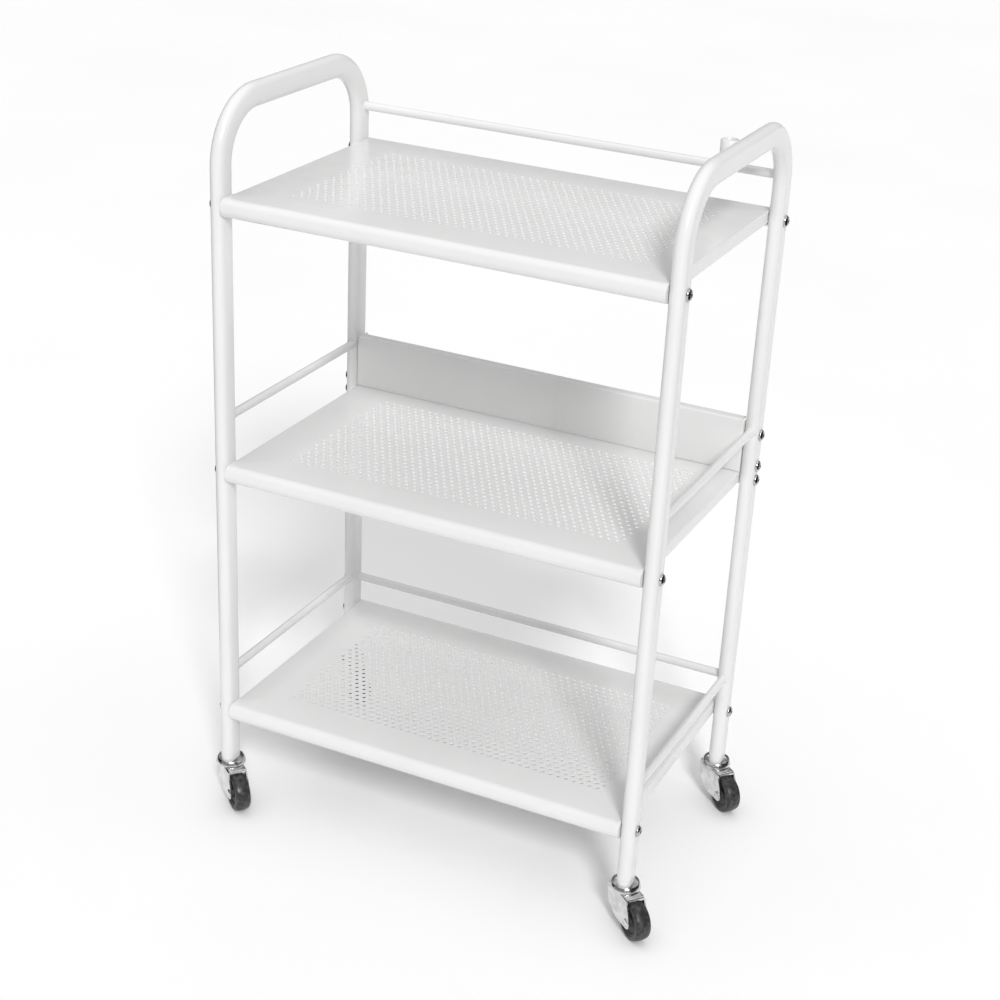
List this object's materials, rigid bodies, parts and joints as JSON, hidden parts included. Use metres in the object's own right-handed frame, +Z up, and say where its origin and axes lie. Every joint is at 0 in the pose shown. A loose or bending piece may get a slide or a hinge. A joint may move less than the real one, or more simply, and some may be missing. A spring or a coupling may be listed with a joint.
{
  "type": "rolling salon trolley",
  "caption": "Tall rolling salon trolley: bent flat-oval tube side hoops as handles, open perforated metal shelves, wire rails, a low back panel, a lamp socket and small swivel casters.",
  "frame": {"origin": "on the floor under the middle of the trolley's own outline with its casters parked as seen, bolt heads and wheels included; the middle of the four legs is 10.35 mm left of it and 7.93 mm behind it", "axes": "+X to the trolley's right as one faces its front, +Y to its back (the side with the back panel and back rails), +Z up"},
  "size_m": [0.5328, 0.3208, 0.788],
  "materials": {
    "white_paint": "gloss white powder coat over steel",
    "chrome_bolt": "bright plated steel screws",
    "chrome": "bright plated pressed steel, lightly scuffed",
    "white_plastic": "smooth moulded white plastic",
    "dark_plastic": "moulded charcoal plastic, satin",
    "black_rubber": "smooth charcoal rubber tread"
  },
  "bodies": {
    "frame": {"left_side_hoop": "white_paint", "right_side_hoop": "white_paint", "top_shelf": "white_paint", "middle_shelf": "white_paint", "bottom_shelf": "white_paint", "middle_back_panel": "white_paint", "top_back_rail": "white_paint", "middle_left_rail": "white_paint", "middle_right_rail": "white_paint", "bottom_left_rail": "white_paint", "bottom_right_rail": "white_paint", "bottom_back_rail": "white_paint", "lamp_socket": "white_paint", "top_shelf_bolt_front_left": "chrome_bolt", "top_shelf_bolt_front_right": "chrome_bolt", "top_shelf_bolt_back_left": "chrome_bolt", "top_shelf_bolt_back_right": "chrome_bolt", "middle_shelf_bolt_front_left": "chrome_bolt", "middle_shelf_bolt_front_right": "chrome_bolt", "middle_shelf_bolt_back_left": "chrome_bolt", "middle_shelf_bolt_back_right": "chrome_bolt", "bottom_shelf_bolt_front_left": "chrome_bolt", "bottom_shelf_bolt_front_right": "chrome_bolt", "bottom_shelf_bolt_back_left": "chrome_bolt", "bottom_shelf_bolt_back_right": "chrome_bolt", "panel_bolt_lower_left": "chrome_bolt", "panel_bolt_lower_right": "chrome_bolt", "panel_bolt_upper_left": "chrome_bolt", "panel_bolt_upper_right": "chrome_bolt", "front_left_bush": "white_plastic", "front_left_stem": "chrome", "front_right_bush": "white_plastic", "front_right_stem": "chrome", "back_left_bush": "white_plastic", "back_left_stem": "chrome", "back_right_bush": "white_plastic", "back_right_stem": "chrome"},
    "front_left_caster_fork": {"front_left_fork": "chrome", "front_left_axle": "chrome", "front_left_ball_ring": "chrome"},
    "front_left_caster_wheel": {"front_left_hub": "dark_plastic", "front_left_tyre": "black_rubber"},
    "front_right_caster_fork": {"front_right_fork": "chrome", "front_right_axle": "chrome", "front_right_ball_ring": "chrome"},
    "front_right_caster_wheel": {"front_right_hub": "dark_plastic", "front_right_tyre": "black_rubber"},
    "back_left_caster_fork": {"back_left_fork": "chrome", "back_left_axle": "chrome", "back_left_ball_ring": "chrome"},
    "back_left_caster_wheel": {"back_left_hub": "dark_plastic", "back_left_tyre": "black_rubber"},
    "back_right_caster_fork": {"back_right_fork": "chrome", "back_right_axle": "chrome", "back_right_ball_ring": "chrome"},
    "back_right_caster_wheel": {"back_right_hub": "dark_plastic", "back_right_tyre": "black_rubber"}
  },
  "joints": [
    {"name": "front_left_swivel", "type": "hinge", "parent": "frame", "child": "front_left_caster_fork", "pos_m": [-0.24785, -0.12657, 0.0468], "axis": [0, 0, 1], "continuous": true},
    {"name": "front_left_wheel", "type": "hinge", "parent": "front_left_caster_fork", "child": "front_left_caster_wheel", "pos_m": [-0.22842, -0.1423, 0.021], "axis": [0.6293, 0.7771, 0], "continuous": true},
    {"name": "front_right_swivel", "type": "hinge", "parent": "frame", "child": "front_right_caster_fork", "pos_m": [0.22715, -0.12657, 0.0468], "axis": [0, 0, 1], "continuous": true},
    {"name": "front_right_wheel", "type": "hinge", "parent": "front_right_caster_fork", "child": "front_right_caster_wheel", "pos_m": [0.24658, -0.1423, 0.021], "axis": [0.6293, 0.7771, 0], "continuous": true},
    {"name": "back_left_swivel", "type": "hinge", "parent": "frame", "child": "back_left_caster_fork", "pos_m": [-0.24785, 0.14243, 0.0468], "axis": [0, 0, 1], "continuous": true},
    {"name": "back_left_wheel", "type": "hinge", "parent": "back_left_caster_fork", "child": "back_left_caster_wheel", "pos_m": [-0.22842, 0.1267, 0.021], "axis": [0.6293, 0.7771, 0], "continuous": true},
    {"name": "back_right_swivel", "type": "hinge", "parent": "frame", "child": "back_right_caster_fork", "pos_m": [0.22715, 0.14243, 0.0468], "axis": [0, 0, 1], "continuous": true},
    {"name": "back_right_wheel", "type": "hinge", "parent": "back_right_caster_fork", "child": "back_right_caster_wheel", "pos_m": [0.24658, 0.1267, 0.021], "axis": [0.6293, 0.7771, 0], "continuous": true}
  ]
}
